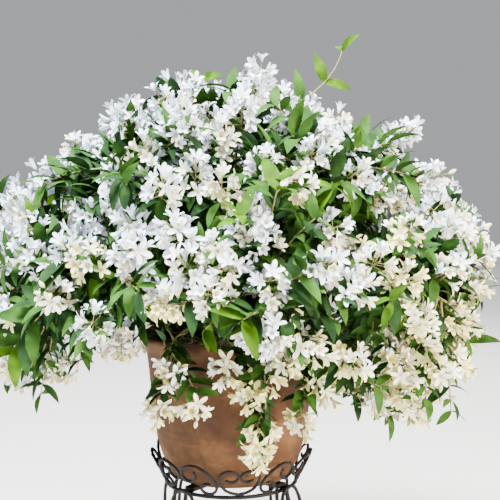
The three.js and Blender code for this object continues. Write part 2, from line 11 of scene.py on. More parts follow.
import bpy
import numpy as np
from numpy.linalg import norm
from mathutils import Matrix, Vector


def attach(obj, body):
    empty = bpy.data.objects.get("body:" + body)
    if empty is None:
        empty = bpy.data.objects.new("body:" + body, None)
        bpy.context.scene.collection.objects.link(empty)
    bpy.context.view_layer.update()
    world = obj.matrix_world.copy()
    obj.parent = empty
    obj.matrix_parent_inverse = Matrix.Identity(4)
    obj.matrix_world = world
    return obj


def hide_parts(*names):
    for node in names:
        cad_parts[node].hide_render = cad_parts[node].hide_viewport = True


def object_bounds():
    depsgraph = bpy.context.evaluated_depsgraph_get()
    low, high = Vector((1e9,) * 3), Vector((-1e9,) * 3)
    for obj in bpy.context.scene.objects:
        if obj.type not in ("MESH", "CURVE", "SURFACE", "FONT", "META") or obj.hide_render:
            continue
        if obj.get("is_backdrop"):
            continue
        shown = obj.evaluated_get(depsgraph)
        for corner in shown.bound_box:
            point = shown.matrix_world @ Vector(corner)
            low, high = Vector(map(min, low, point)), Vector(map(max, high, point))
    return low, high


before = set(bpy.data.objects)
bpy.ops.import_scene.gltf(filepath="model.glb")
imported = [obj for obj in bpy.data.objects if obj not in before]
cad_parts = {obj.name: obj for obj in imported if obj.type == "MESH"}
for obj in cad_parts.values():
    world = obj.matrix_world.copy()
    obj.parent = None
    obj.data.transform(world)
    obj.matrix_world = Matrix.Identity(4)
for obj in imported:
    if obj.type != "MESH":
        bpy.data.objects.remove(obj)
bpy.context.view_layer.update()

# %% [markdown]
# ## Small tools
#
# Nearly everything is a grid of points closed with quads, a round bar carried along a path, or a
# small shape copied thousands of times. Arrays make many of each at once.

# %% Directions and places
MM = 0.001
DEGREE = math.pi / 180
UP = np.array([0.0, 0.0, 1.0])


def unit(vectors):
    """Each vector divided by its own length."""
    return vectors / np.maximum(norm(vectors, axis=-1, keepdims=True), 1e-12)


def stack(*columns):
    """Numbers or arrays as the columns of points or faces."""
    return np.stack(np.broadcast_arrays(*columns), -1)


def around(azimuth, radius, z):
    """Points round the pot's axis: x = r sin(a), y = -r cos(a), with azimuth 0 in front."""
    return stack(radius * np.sin(azimuth), -radius * np.cos(azimuth), z)


def mix(a, b, share):
    """The value a share of the way from a to b."""
    return a + (b - a) * share


def full_turn(count):
    """Angles spread evenly over a full turn."""
    return 2 * np.pi * np.arange(count) / count


def spun(side, across, angle):
    """The direction side cos a + across sin a."""
    return side * np.cos(angle)[..., None] + across * np.sin(angle)[..., None]

# %% Faces, copies and joined shapes
def repeated(faces, points_each, copies):
    """The same faces for many copies, whose points follow on from one another."""
    moved = faces[None] + points_each * np.arange(copies)[:, None, None]
    return moved.reshape(-1, faces.shape[1])


def grid_faces(rows, columns, wrap=False, copies=1):
    """Quads between the neighbours of a grid. With wrap, the last column meets the first."""
    row = np.arange(rows - 1)[:, None]
    column = np.arange(columns if wrap else columns - 1)[None]
    beside = (column + 1) % columns
    low, high = row * columns, (row + 1) * columns
    quads = stack(low + column, low + beside, high + beside, high + column)
    return repeated(quads.reshape(-1, 4), rows * columns, copies)


def together(*shapes):
    """Several shapes as one. A shape is its points and a list of arrays of faces."""
    points, faces, start = [], [], 0
    for some, kinds in shapes:
        points.append(some)
        faces += [kind + start for kind in kinds]
        start += len(some)
    return np.vstack(points), faces


def scatter(shape, centres, axes, sizes):
    """Copies of one small shape. Copy i of a point p is centre_i + size_i (p . axes_i)."""
    points, kinds = shape
    placed = centres[:, None] + sizes[:, None, None] * np.einsum("nk,mkj->mnj", points, axes)
    return placed.reshape(-1, 3), [repeated(k, len(points), len(centres)) for k in kinds]


# %% Round bars along paths
def end_faces(steps, sides):
    """The flat faces at both ends of a bar."""
    side = np.arange(sides)
    return np.stack([side[::-1], (steps - 1) * sides + side])


def bars(paths, radii, sides, reference=None):
    """Bars with flat ends along many paths, an array of (bars, steps, 3).

    Each section is the circle centre + r (side cos a + across sin a). Side is the part of the
    reference direction that is square to the path, and across is square to both."""
    count, steps = paths.shape[:2]
    along = unit(np.gradient(paths, axis=1))
    if reference is None:
        chord = unit(paths[:, -1:] - paths[:, :1])
        reference = np.where(np.abs(chord[..., 2:]) < 0.75, UP, [1.0, 0.0, 0.0])
    side = unit(reference - along * (reference * along).sum(-1, keepdims=True))
    across = np.cross(along, side)
    circle = spun(side[:, :, None], across[:, :, None], full_turn(sides))
    radii = np.broadcast_to(radii, (count, steps))
    points = paths[:, :, None] + radii[:, :, None, None] * circle
    faces = [
        grid_faces(steps, sides, wrap=True, copies=count),
        repeated(end_faces(steps, sides), steps * sides, count),
    ]
    return points.reshape(-1, 3), faces


def smooth_line(corners, count, power=0.5):
    """Evenly spaced points on a line of cubics through the corners. The slope at a corner comes
    from its neighbours, with the distance to the given power as the time between them."""
    corners = np.asarray(corners, float)
    ends = 2 * corners[[0, -1]] - corners[[1, -2]]
    p = np.vstack([ends[0], corners, ends[1]])
    time = norm(np.diff(p, axis=0), axis=1) ** power
    a, b, c = time[:-2, None], time[1:-1, None], time[2:, None]
    p0, p1, p2, p3 = p[:-3], p[1:-2], p[2:-1], p[3:]
    slope1 = ((p1 - p0) / a - (p2 - p0) / (a + b) + (p2 - p1) / b) * b
    slope2 = ((p2 - p1) / b - (p3 - p1) / (b + c) + (p3 - p2) / c) * b
    t = np.linspace(0, 1, 40, endpoint=False)[:, None, None]
    way = p2 - p1
    line = 3 * way - 2 * slope1 - slope2 + t * (slope1 + slope2 - 2 * way)
    line = p1 + t * (slope1 + t * line)
    line = np.vstack([line.transpose(1, 0, 2).reshape(-1, corners.shape[1]), corners[-1]])
    length = np.append(0, np.cumsum(norm(np.diff(line, axis=0), axis=1)))
    wanted = np.linspace(0, length[-1], count)
    return stack(*[np.interp(wanted, length, axis) for axis in line.T])


def turned(profile, count, relief=None):
    """A profile of (radius, height) turned round the axis, with a closed pole at each end.

    The point at angle a is (r sin a, -r cos a, z), and relief adds to r."""
    radius, height = np.asarray(profile, float).T[..., None]
    angle = full_turn(count)[None]
    grown = radius + (relief(angle, height, radius) if relief else 0)
    rings = around(angle, grown, height).reshape(-1, 3)
    poles = stack(0, 0, height[[0, -1], 0])
    first = np.arange(count)
    beside = np.roll(first, -1)
    last = len(rings) - count
    fans = stack(beside, first, len(rings)), stack(first + last, beside + last, len(rings) + 1)
    faces = [grid_faces(len(profile), count, wrap=True), *fans]
    return np.vstack([rings, poles]), faces


# %% Put a shape into the scene
def add_object(name, data):
    """A new object in the scene."""
    made = bpy.data.objects.new(name, data)
    bpy.context.scene.collection.objects.link(made)
    return made


def make_piece(name, shape, material, stands_for=(), smooth=True):
    """A mesh object from a shape in millimetres. It rides on the one body that the part has."""
    points, kinds = shape
    mesh = bpy.data.meshes.new(name)
    corners = np.hstack([kind.ravel() for kind in kinds])
    sizes = np.hstack([np.full(len(kind), kind.shape[1]) for kind in kinds])
    mesh.vertices.add(len(points))
    mesh.vertices.foreach_set("co", (points * MM).astype(np.float32).ravel())
    mesh.loops.add(len(corners))
    mesh.loops.foreach_set("vertex_index", corners.astype(np.int32))
    mesh.polygons.add(len(sizes))
    mesh.polygons.foreach_set("loop_start", (np.cumsum(sizes) - sizes).astype(np.int32))
    mesh.polygons.foreach_set("use_smooth", np.full(len(sizes), smooth))
    mesh.update(calc_edges=True)
    mesh.materials.append(material)
    made = add_object(name, mesh)
    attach(made, "root")
    if stands_for:
        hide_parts(*stands_for)
    print(f"{name}: {len(points)} points, {int((sizes - 2).sum())} triangles")


# %% Colours and material nodes
def linear(hex_colour):
    """An sRGB hex colour as linear red, green, blue and alpha."""
    srgb = [int(hex_colour[i : i + 2], 16) / 255 for i in (1, 3, 5)]
    return (*[c / 12.92 if c <= 0.04045 else ((c + 0.055) / 1.055) ** 2.4 for c in srgb], 1.0)


def new_material(name, colour, roughness, **sockets):
    """A material whose plain values stand on its shader's sockets."""
    material = bpy.data.materials.new(name)
    material.use_nodes = True
    material.diffuse_color = linear(colour)
    inputs = material.node_tree.nodes["Principled BSDF"].inputs
    inputs["Base Color"].default_value = linear(colour)
    inputs["Roughness"].default_value = roughness
    for socket, value in sockets.items():
        inputs[socket.replace("_", " ")].default_value = value
    return material


def add_node(material, kind, inputs=None, **settings):
    """Adds a node. Each input is a value, or the socket that feeds it."""
    tree = material.node_tree
    made = tree.nodes.new(kind)
    for name, value in settings.items():
        setattr(made, name, value)
    for name, value in (inputs or {}).items():
        if isinstance(value, bpy.types.NodeSocket):
            tree.links.new(value, made.inputs[name])
        else:
            made.inputs[name].default_value = value
    return made


def feed(material, socket, source):
    """Links a node's output to one of the shader's sockets."""
    tree = material.node_tree
    tree.links.new(source, tree.nodes["Principled BSDF"].inputs[socket])


def noise(material, scale, detail, roughness=0.5, squeeze=None):
    """The value of a noise texture over the object's coordinates, which may be squeezed."""
    place = add_node(material, "ShaderNodeTexCoord").outputs["Object"]
    if squeeze:
        moved = add_node(material, "ShaderNodeMapping", {"Vector": place, "Scale": squeeze})
        place = moved.outputs["Vector"]
    inputs = {"Vector": place, "Scale": scale, "Detail": detail, "Roughness": roughness}
    return add_node(material, "ShaderNodeTexNoise", inputs).outputs["Fac"]


def ramp(material, value, stops):
    """The colour of a ramp at a value. Each stop is a place on the ramp and a colour."""
    made = add_node(material, "ShaderNodeValToRGB", {"Fac": value})
    elements = made.color_ramp.elements
    for number, (place, colour) in enumerate(stops):
        stop = elements[number] if number < 2 else elements.new(place)
        stop.position, stop.color = place, linear(colour)
    return made.outputs["Color"]


def bump(material, height, strength, distance):
    """Fine relief on the shader's normal. The distance is the relief's height in metres."""
    inputs = {"Height": height, "Strength": strength, "Distance": distance}
    feed(material, "Normal", add_node(material, "ShaderNodeBump", inputs).outputs["Normal"])


def textured(material, texture, stops, relief=None):
    """Colours a material by a ramp over one noise, which may give its relief as well."""
    value = noise(material, *texture)
    feed(material, "Base Color", ramp(material, value, stops))
    if relief:
        bump(material, value, *relief)
    return value


# %% [markdown]
# ## Camera
#
# The photograph was taken from just over a metre away, a little above the middle of the crown,
# with the pot's axis a little left of the middle. A 72 mm lens on a 36 mm sensor fits it.

# %% The camera at the photograph's viewing angle
camera_data = bpy.data.cameras.new("photo_camera")
camera_data.lens, camera_data.sensor_width = 72, 36
camera = add_object("photo_camera", camera_data)
camera.location = (0.0207, -1.09, 0.509)
camera.rotation_euler = (math.radians(90 - 4.0), 0, 0)
bpy.context.scene.camera = camera
print("camera at", tuple(round(v, 3) for v in camera.location))

# %% [markdown]
# ## Light and floor
#
# One large soft lamp stands for the open sky at the upper left, a smaller and warmer one for the
# sun on the lower right of the pot, and a pale world fills the shadows.

# %% Soft studio light and a pale floor
MIDDLE = np.array([0, 0, 0.4])


def add_lamp(name, place, size, power, colour):
    """A square area lamp at a place, turned to look at the middle of the plant."""
    data = bpy.data.lights.new(name, "AREA")
    data.shape, data.size, data.energy = "SQUARE", size, power
    data.color = linear(colour)[:3]
    lamp = add_object(name, data)
    lamp.location = place
    x, y, z = MIDDLE - place
    lamp.rotation_euler = (math.atan2(math.hypot(x, y), -z), 0, math.atan2(y, x) - math.pi / 2)


add_lamp("sky_light", (-0.55, -1.15, 2.75), 1.2, 720, "#F1F6FF")
add_lamp("sun_light", (1.75, -1.15, 0.7), 0.5, 135, "#FFEBD0")
add_lamp("back_light", (0.4, 1.8, 1.7), 1.4, 40, "#FFFFFF")

world = bpy.data.worlds.new("studio")
world.use_nodes = True
background = world.node_tree.nodes["Background"].inputs
background["Color"].default_value = linear("#E4E8EC")
background["Strength"].default_value = 0.54
bpy.context.scene.world = world

FLOOR_CORNERS = [(-6, -6, 0), (6, -6, 0), (6, 6, 0), (-6, 6, 0)]
floor_mesh = bpy.data.meshes.new("floor")
floor_mesh.from_pydata(FLOOR_CORNERS, [], [(0, 1, 2, 3)])
floor_mesh.materials.append(new_material("pale_floor_paint", "#D9D6CF", 0.85))
floor = add_object("floor", floor_mesh)
floor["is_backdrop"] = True

# %% [markdown]
# ## The pot
#
# The real pot is thrown red clay. A profile turned round an axis is what a potter's wheel makes,
# and a few tenths of a millimetre of relief add the rings of the thrower's fingers and a body
# that isn't quite true.

# %% Terracotta
# Unglazed red earthenware is matt. Salts and lime from the water bloom in pale patches some 20 to
# 40 mm wide, and iron specks 1 mm wide dot it.
# The clay's colours are darkened below those of fired red clay, as painted shade from the crown
# that overhangs the pot.
terracotta = new_material("terracotta_earthenware", "#4C321E", 0.88, Specular_IOR_Level=0.2)
bloom = [(0.3, "#372417"), (0.72, "#6E5234"), (0.5, "#4D331E"), (0.6, "#5B3D25")]
specks = [(0.3, "#5A3526"), (0.39, "#FFFFFF")]
grit = noise(terracotta, 420, 3, 0.7)
layers = {  # sockets 0, 6 and 7 of a colour mix are its factor and its two colours
    0: 0.6,
    6: ramp(terracotta, noise(terracotta, 26, 6, 0.62), bloom),
    7: ramp(terracotta, grit, specks),
}
mixed = add_node(terracotta, "ShaderNodeMix", layers, data_type="RGBA", blend_type="MULTIPLY")
feed(terracotta, "Base Color", mixed.outputs[2])
bump(terracotta, grit, 0.25, 0.0006)

# %% The thrown pot
AIR = 0.3  # between solids that touch
RING_HEIGHT = 180
CROSS_BAR_LIFT = 1.3
CROSS_BAR_THICK = 5.4
POT_HEIGHT = 156
POT_WALL = 7
POT_BASE_Z = RING_HEIGHT + CROSS_BAR_LIFT + CROSS_BAR_THICK + AIR
POT_RIM_Z = POT_BASE_Z + POT_HEIGHT
POT_BELLY = 121
POT_OUTSIDE = np.array([
    [63, 0], [66.5, 3], [75.5, 22], [81.5, 42], [87, 80], [91, POT_BELLY],
    [94, POT_HEIGHT - 16], [99, POT_HEIGHT - 7], [100, POT_HEIGHT - 3], [98, POT_HEIGHT],
])


def pot_radius(height):
    """The outside radius at a height above the pot's base."""
    return np.interp(height, POT_OUTSIDE[:, 1], POT_OUTSIDE[:, 0])


def inside_radius(height):
    """The wall is 7 mm thick and thins towards the rim."""
    thinner = np.maximum(0, height - POT_BELLY) * 0.06
    return pot_radius(np.minimum(height, POT_BELLY)) - POT_WALL + thinner


def finger_rings(angle, height, radius):
    """Relief in millimetres: rings some 7 mm apart that climb slowly, and a wobble of the body."""
    rings = 0.22 * np.sin(2 * np.pi * height / 7.3 + angle) * np.sin(height / 17)
    wobble = 0.35 * np.sin(2 * angle + 0.6) + 0.2 * np.sin(3 * angle + height / 40)
    return np.where(radius > 20, rings + wobble, 0)


# The profile runs from the middle of the base up the outside, over the lip and down inside.
foot = [[8, 0], [40, 0], [60, 0], [64.4, 0.5], [65.8, 1.6]]
lip = [[96.6, POT_HEIGHT + 0.1], [94, POT_HEIGHT - 0.3], [91.8, POT_HEIGHT - 1.8]]
heights = np.linspace(POT_HEIGHT - 5, POT_WALL + 4, 36)
inside = stack(inside_radius(heights), heights)
floor_in = [[54, POT_WALL + 0.6], [30, POT_WALL], [6, POT_WALL]]
profile = np.vstack([foot, smooth_line(POT_OUTSIDE[1:], 74), lip, inside, floor_in])
pot_shape = turned(profile + [0, POT_BASE_Z], 128, finger_rings)
make_piece("terracotta_bell_pot", pot_shape, terracotta, ["terracotta_pot"])

# %% [markdown]
# ## Potting soil
#
# Dark compost fills the pot to a finger's width below the rim, and it shows at the left with dry
# twigs on it. A turned disc gets its crumbs from a sum of waves.

# %% Soil with crumbs, and dry twigs on it
SOIL_DROP = 17
SOIL_Z = POT_RIM_Z - SOIL_DROP
SOIL_RISE = 5  # under the shrub
rng = np.random.default_rng(20)

# Peat is near black when damp, with brown fibre a few millimetres long.
peat = new_material("peat_compost", "#2B2019", 0.97)
fibre = [(0.35, "#15100D"), (0.7, "#5A4433"), (0.55, "#2E221A")]
textured(peat, (190, 8, 0.7), fibre, (0.8, 0.002))

# The soil is a turned slab, and waves of three sizes lift each point of its top, by 2.3 mm at most.
low = POT_WALL + 0.4
heights = np.linspace(low, POT_HEIGHT - SOIL_DROP - 0.5, 12)
wall = stack(inside_radius(heights) - 0.6, heights + POT_BASE_Z)
radius = np.linspace(wall[-1, 0] - 1, 3, 52)
top = stack(radius, SOIL_Z + SOIL_RISE * np.clip((85 - radius) / 48, 0, 1))
foot = [[4, POT_BASE_Z + low], [40, POT_BASE_Z + low]]
soil, soil_faces = turned(np.vstack([foot, wall, top]), 120)
x, y, z = soil.T
crumbs = (
    0.8 * np.sin(x / 3.1 + 2 * np.sin(y / 4.7)) * np.sin(y / 2.7 + np.sin(x / 5))
    + 0.6 * np.sin(x / 1.7 + y / 2.3)
    + 0.9 * np.sin(x / 11 + 1) * np.sin(y / 13)
)
soil[:, 2] = np.where(z > SOIL_Z - 0.2, z + crumbs, z)
make_piece("potting_compost", (soil, soil_faces), peat, ["potting_soil"])

# %% [markdown]
# ## Bark
#
# The canes are thin and many. Young bark is green-brown and smooth, and old bark is tan and
# peels in long strips. Each cane follows the curve of its solid from the root crown, with slight
# swellings where pairs of leaves once stood.

# %% Bark of canes and twigs
def make_bark(name, dark, middle, pale, roughness):
    """Streaks that run along the upright, as the noise's height is squeezed to a sixth."""
    bark = new_material(name, middle, roughness)
    stops = [(0.32, dark), (0.7, pale), (0.5, middle)]
    textured(bark, (700, 5, 0.65, (1, 1, 0.16)), stops, (0.6, 0.0008))
    return bark


old_bark = make_bark("peeling_cane_bark", "#655544", "#8F7C64", "#B5A58B", 0.85)
young_bark = make_bark("young_shoot_bark", "#4D5A2E", "#77743F", "#9B8352", 0.6)

# %% Places of the masses and their canes
HALF_WIDTH = 290
HALF_DEPTH = 226
WAIST_Z = 400
DOME_HEIGHT = 238
SKIRT_DROP = 136
FRONT_LIFT = 74
SOIL_TOP_Z = SOIL_Z + SOIL_RISE
CANE_FOOT_Z = SOIL_TOP_Z + 9.6
# For each kind of mass: how far out its canes' feet stand, the share of the way to its middle that
# their tips reach, and how far over the middle they end.
CANE_TO = {
    "top": (0, 0.45, -62),
    "upper": (9, 0.45, -62),
    "outer": (16.5, 0.6, 18),
    "hanging": (23.5, 0.76, 66),
}
HANGING = {-29: 260, 16: 226, 45: 242, 112: 262, 180: 236, 215: 262}  # azimuth: lowest point


def ring_of_masses(kind, count, share, z, start):
    """The middles of masses spread evenly round the crown, at one height."""
    azimuth = start * DEGREE + full_turn(count)
    x, y = HALF_WIDTH * share * np.sin(azimuth), -HALF_DEPTH * share * np.cos(azimuth)
    return {f"{kind}_{k + 1}": middle for k, middle in enumerate(stack(x, y, z))}


MASSES = {
    "top": np.array([6.0, 4.0, 556.0]),
    **ring_of_masses("upper", 4, 0.5, 510, 45),
    **ring_of_masses("outer", 7, 0.79, 392, 8),
    **{f"hanging_{k + 1}": around(at * DEGREE, 128, 288) for k, at in enumerate(HANGING)},
}
FIRST_HANGING = len(MASSES) - len(HANGING)
is_hanging = np.arange(len(MASSES)) >= FIRST_HANGING
middles = np.array(list(MASSES.values()))
azimuths = np.arctan2(middles[:, 0], -middles[:, 1])


def bow(start, knee, end, shares):
    """Points on the curve (1-t)^2 start + 2t(1-t) knee + t^2 end, for one curve or many."""
    t = shares[..., None]
    start, knee, end = (p[..., None, :] for p in (start, knee, end))
    return (1 - t) ** 2 * start + 2 * t * (1 - t) * knee + t**2 * end


# Foot, tip and knee of each cane, by the rule of its kind of mass.
foot, share, rise = np.array([CANE_TO[name.split("_")[0]] for name in MASSES]).T
cane_start = around(azimuths, foot, CANE_FOOT_Z)
cane_end = stack(*(middles[:, :2] * share[:, None]).T, middles[:, 2] + rise)
cane_knee = cane_start + (cane_end - cane_start) * [0.3, 0.3, 0.8]
cane_knee[is_hanging] = around(azimuths[is_hanging], 52, POT_RIM_Z + 24)

# %% Canes and the root crown
CANE_STEPS = 44
cane_share = np.linspace(0, 1, CANE_STEPS)
cane_paths = bow(cane_start, cane_knee, cane_end, cane_share)
cane_paths[:, 0, 2] -= 4  # the foot runs a little way into the root crown
joints = 1 + 0.16 * np.exp(-(((cane_share * 9) % 1 - 0.5) ** 2) / 0.006)
cane_radii = mix(3.0, 1.9, cane_share) * joints
canes = bars(cane_paths, cane_radii, 10)


def boss_relief(angle, height, radius):
    """Lobes some 3 mm high on the root crown, where canes were cut back."""
    return np.where(radius > 8, 1.8 * np.sin(5 * angle + height / 3) + 1.1 * np.sin(9 * angle), 0)


boss_line = smooth_line([[31, -6], [30, 2], [27, 6.5], [20, 9.2], [8, 10], [2, 10]], 26)
root_crown = turned(boss_line + [0, SOIL_TOP_Z], 72, boss_relief)
cane_nodes = [f"cane_{name}" for name in MASSES]
cane_shape = together(canes, root_crown)
make_piece("canes_from_root_crown", cane_shape, old_bark, [*cane_nodes, "root_crown"])

# Dead twigs lie on the soil and across the rim at the front left, each slightly bent.
TWIGS = 26
azimuth = rng.uniform(-75, -5, TWIGS) * DEGREE
middle = around(azimuth, rng.uniform(38, 78, TWIGS), SOIL_TOP_Z + rng.uniform(2, 12, TWIGS))
heading = rng.uniform(0, np.pi, TWIGS)
half = rng.uniform(14, 34, TWIGS)[:, None]
half = half * stack(np.cos(heading), np.sin(heading), rng.uniform(-0.12, 0.3, TWIGS))
knee = middle + rng.normal(0, 5, (TWIGS, 3))
paths = bow(middle - half, knee, middle + half, np.linspace(0, 1, 8))
dry_twigs = bars(paths, rng.uniform(0.5, 0.9, (TWIGS, 1)), 6)
make_piece("dry_twigs_on_soil", dry_twigs, old_bark)

# %% [markdown]
# ## The shoots
#
# The rule is that of the solids: a stem goes on from each cane, tips are spread evenly over the
# skin of the crown, each belongs to the mass whose middle is nearest, and a twig runs to it from
# the stem and ends in a raceme. Here there are several times more tips, drawn in by different
# depths, so that the crown is open and uneven.

# %% The stem of each mass
heading = unit(cane_end - cane_knee)
lowest = np.array([0] * FIRST_HANGING + list(HANGING.values()))
hangs = is_hanging[:, None]
stem_end = np.where(hangs, around(azimuths, 131, lowest + 50), mix(cane_end, middles, 1.25))
onward = heading * 0.5 * norm(stem_end - cane_end, axis=1, keepdims=True)
stem_knee = np.where(hangs, around(azimuths, 126, POT_RIM_Z + 12), cane_end + onward)
stem_share = np.linspace(0, 1, 14)
stem_paths = bow(cane_end, stem_knee, stem_end, stem_share)
stem_radii = mix(1.8, 1.0, stem_share) * np.where(is_hanging, 0.62, 1.0)[:, None]
stems = bars(stem_paths, stem_radii, 8)

# %% The skin of the crown
# Heights of the crown's outline over its width: the left shoulder is higher than the right one,
# and there is a dip between two bunches on the right.
OUTLINE = {
    -300: 470, -250: 505, -208: 532, -165: 562, -120: 606, -60: 624, 0: 630, 34: 636,
    64: 615, 100: 598, 140: 566, 162: 556, 195: 566, 240: 520, 290: 478,
}
OUT_POWER, RISE_POWER = 0.91, 1.32


def dome(x, height):
    """Heights above the waist, scaled so that the top over each x meets the outline."""
    share = np.clip(np.abs(x) / HALF_WIDTH, 0, 0.97)
    plain = DOME_HEIGHT * np.sin(np.arccos(share ** (1 / OUT_POWER))) ** RISE_POWER
    wanted = np.interp(x, list(OUTLINE), list(OUTLINE.values())) - WAIST_Z
    return height * np.clip(wanted / plain, 0.5, 1.6)


def skin(slope, azimuth):
    """The crown's surface: an oval dome above the waist, and a skirt that hangs below it.

    Above, the distance out is cos(slope)^0.91 and the height is sin(slope)^1.32. Below, it is
    cos^0.34 out and sin^1.2 down, and the skirt is lifted in front and behind."""
    rise = np.sin(slope)
    out = np.maximum(np.cos(slope), 0) ** np.where(rise > 0, OUT_POWER, 0.34)
    drop = SKIRT_DROP - FRONT_LIFT * np.abs(np.cos(azimuth)) ** 3
    x = HALF_WIDTH * out * np.sin(azimuth)
    y = -HALF_DEPTH * out * np.cos(azimuth)
    above = dome(x, DOME_HEIGHT * np.maximum(rise, 0) ** RISE_POWER)
    below = -drop * np.maximum(-rise, 0) ** 1.2
    return stack(x, y, WAIST_Z + np.where(rise > 0, above, below))


def skin_tips(count):
    """Points in equal bands of the skin's area, each turned by the golden angle."""
    slopes = np.linspace(90, -62, 241) * DEGREE
    line = skin(slopes, np.pi / 4)
    step = norm(np.diff(line, axis=0), axis=1)
    width = norm((line[1:] + line[:-1])[:, :2], axis=1)
    area = np.append(0, np.cumsum(step * width))
    slope = np.interp((np.arange(count) + 0.5) / count * area[-1], area, slopes)
    return skin(slope, np.arange(count) * np.pi * (3 - math.sqrt(5)))


# Heights at which the skirt ends. At the front left it is drawn up further, so that the soil and
# the rim of the pot show.
SKIRT_LINE = {
    -300: 330, -255: 295, -215: 300, -165: 330, -125: 356, -60: 372, 0: 350, 25: 310,
    110: 282, 160: 266, 200: 256, 240: 264, 270: 284, 300: 330,
}
OPEN_LEFT, OPEN_RIGHT, OPEN_TOP = -112, -4, 392


def above_skirt(points):
    """True over the skirt's lower edge and outside the opening. Behind the pot the edge is 312 mm
    high at most."""
    x, y, z = points.T
    open_front = (x > OPEN_LEFT) & (x < OPEN_RIGHT) & (y < 0) & (z < OPEN_TOP)
    edge = np.interp(x, list(SKIRT_LINE), list(SKIRT_LINE.values()))
    return (z > np.where(y > 50, np.minimum(edge, 312), edge)) & ~open_front


RACEMES = 292
tips = skin_tips(RACEMES)
outward = unit(tips - [0, 0, WAIST_Z - 120])
is_deep = rng.random(RACEMES) < 0.3
deep, shallow = rng.uniform(32, 85, RACEMES), rng.uniform(6, 26, RACEMES)
depth = np.where(is_deep, deep, shallow)
tips = tips - outward * depth[:, None] + rng.normal(0, 5, tips.shape)

# More leaves show in some parts of the picture. A few racemes are dropped at the upper left, a
# quarter at the upper right, and about half low at both sides.
SHOULDER_Z = 470
low_side = np.clip((np.abs(tips[:, 0]) - 90) / 90, 0, 1)
low_side *= np.clip((SHOULDER_Z - tips[:, 2]) / 60, 0, 1)
to_right = tips[:, 0] > 0
drop_high, drop_low = np.where(to_right, 0.24, 0.06), np.where(to_right, 0.46, 0.62)
dropped = np.where(tips[:, 2] > SHOULDER_Z, drop_high, drop_low * low_side)
tips = tips[above_skirt(tips) & (rng.random(RACEMES) > dropped)]

# Racemes that stand out of the dome, and those that hang over the rim of the pot.
PROUD = [
    [33, -20, 634], [28, -30, 614], [-168, -30, 552], [192, -20, 566], [-68, 40, 620],
    [-56, -186, 474], [-42, -196, 442], [-92, -178, 446], [-70, -176, 408], [96, -184, 430],
    [198, -62, 264], [228, -50, 286], [258, -30, 314], [156, -84, 280], [180, -100, 292],
    [272, 10, 338], [236, -84, 318], [-268, -30, 330], [-238, -80, 322],
    [-120, -84, 338], [-128, -70, 352], [-186, -70, 318], [-222, -60, 304], [-203, -24, 522],
    [-236, -20, 498], [-122, -30, 580], [-106, -36, 588], [34, -190, 469], [12, -188, 487],
    [88, -184, 352], [-11, -194, 455], [62, -190, 398], [80, -128, 541],
]
HANGING_RACEMES = {  # azimuth of the mass: azimuth and height of each tip
    -29: [(-26, 317), (-33, 274), (-14, 280)],
    16: [(-2, 322), (14, 343), (18, 312), (8, 296), (16, 258), (13, 238)],
    45: [(34, 265), (50, 292), (56, 318)],
    112: [(104, 284), (120, 312)],
    180: [(172, 254), (190, 288), (178, 316)],
    215: [(208, 282), (222, 312)],
}


def owners(points):
    """The mass that each point belongs to: the one whose middle is nearest."""
    return norm(points[:, None] - middles[None], axis=-1).argmin(1)


at, height = np.array(sum(HANGING_RACEMES.values(), []), float).T
low_tips = around(at * DEGREE, rng.uniform(126, 136, len(at)), height)
tips = np.vstack([tips, PROUD, low_tips])
owner = owners(tips)
each_row = [len(row) for row in HANGING_RACEMES.values()]
owner[-len(low_tips) :] = FIRST_HANGING + np.repeat(np.arange(len(HANGING)), each_row)

# Racemes whose tips fall in these circles (x, z, radius) at the front bear leaves only.
LEAFY_GAPS = np.array([
    [96, 388, 26], [66, 356, 20], [-118, 424, 24], [-171, 384, 22],
    [8, 538, 20], [44, 506, 20], [92, 488, 21], [130, 487, 20],
    [150, 369, 20], [205, 440, 18], [-80, 520, 20],
])
distance = norm(tips[:, None, [0, 2]] - LEAFY_GAPS[:, :2], axis=-1)
in_gap = (distance < LEAFY_GAPS[:, 2]).any(1)
flowering = ~(in_gap & (tips[:, 1] < -40))

# Shoots with leaves only. The first two stand up out of the crown, the first five are young, and
# the sixth has the largest leaves.
LEAFY = [
    [121, 8, 650], [-40, 120, 628], [-22, -158, 368], [47, -196, 508], [8, -200, 478],
    [-216, -92, 338], [-228, -40, 300], [-196, -70, 286], [236, 30, 300], [150, 10, 556],
    [150, -120, 306], [196, -106, 290], [226, -84, 272], [172, -60, 262], [118, -140, 322],
    [250, -50, 338], [-250, -20, 372], [-150, -110, 350], [-165, -60, 504], [-151, -80, 484],
    [-169, -90, 439], [-112, -140, 431], [-201, -80, 420], [99, -170, 380], [148, -150, 382],
    [76, -170, 342], [127, -80, 539], [80, -178, 474], [62, -112, 552],
    [98, -154, 500], [40, -130, 536],
]
UPRIGHT, YOUNG, LARGEST = 2, 5, 5  # the last is the place of one shoot in the table
SPREAD_SHOOTS, INNER_SHOOTS = 78, 96
leafy_spread = skin_tips(SPREAD_SHOOTS)
drawn_in = rng.uniform(14, 56, (SPREAD_SHOOTS, 1))
leafy_spread = leafy_spread - unit(leafy_spread - [0, 0, 280]) * drawn_in
inner = around(
    rng.uniform(0, 2 * np.pi, INNER_SHOOTS),
    rng.uniform(40, 150, INNER_SHOOTS),
    rng.uniform(352, 500, INNER_SHOOTS),
)
leafy_tips = np.vstack([LEAFY, leafy_spread[above_skirt(leafy_spread)], inner])
leafy_owner = owners(leafy_tips)
print("racemes", int(flowering.sum()), "leafy shoots", len(leafy_tips))

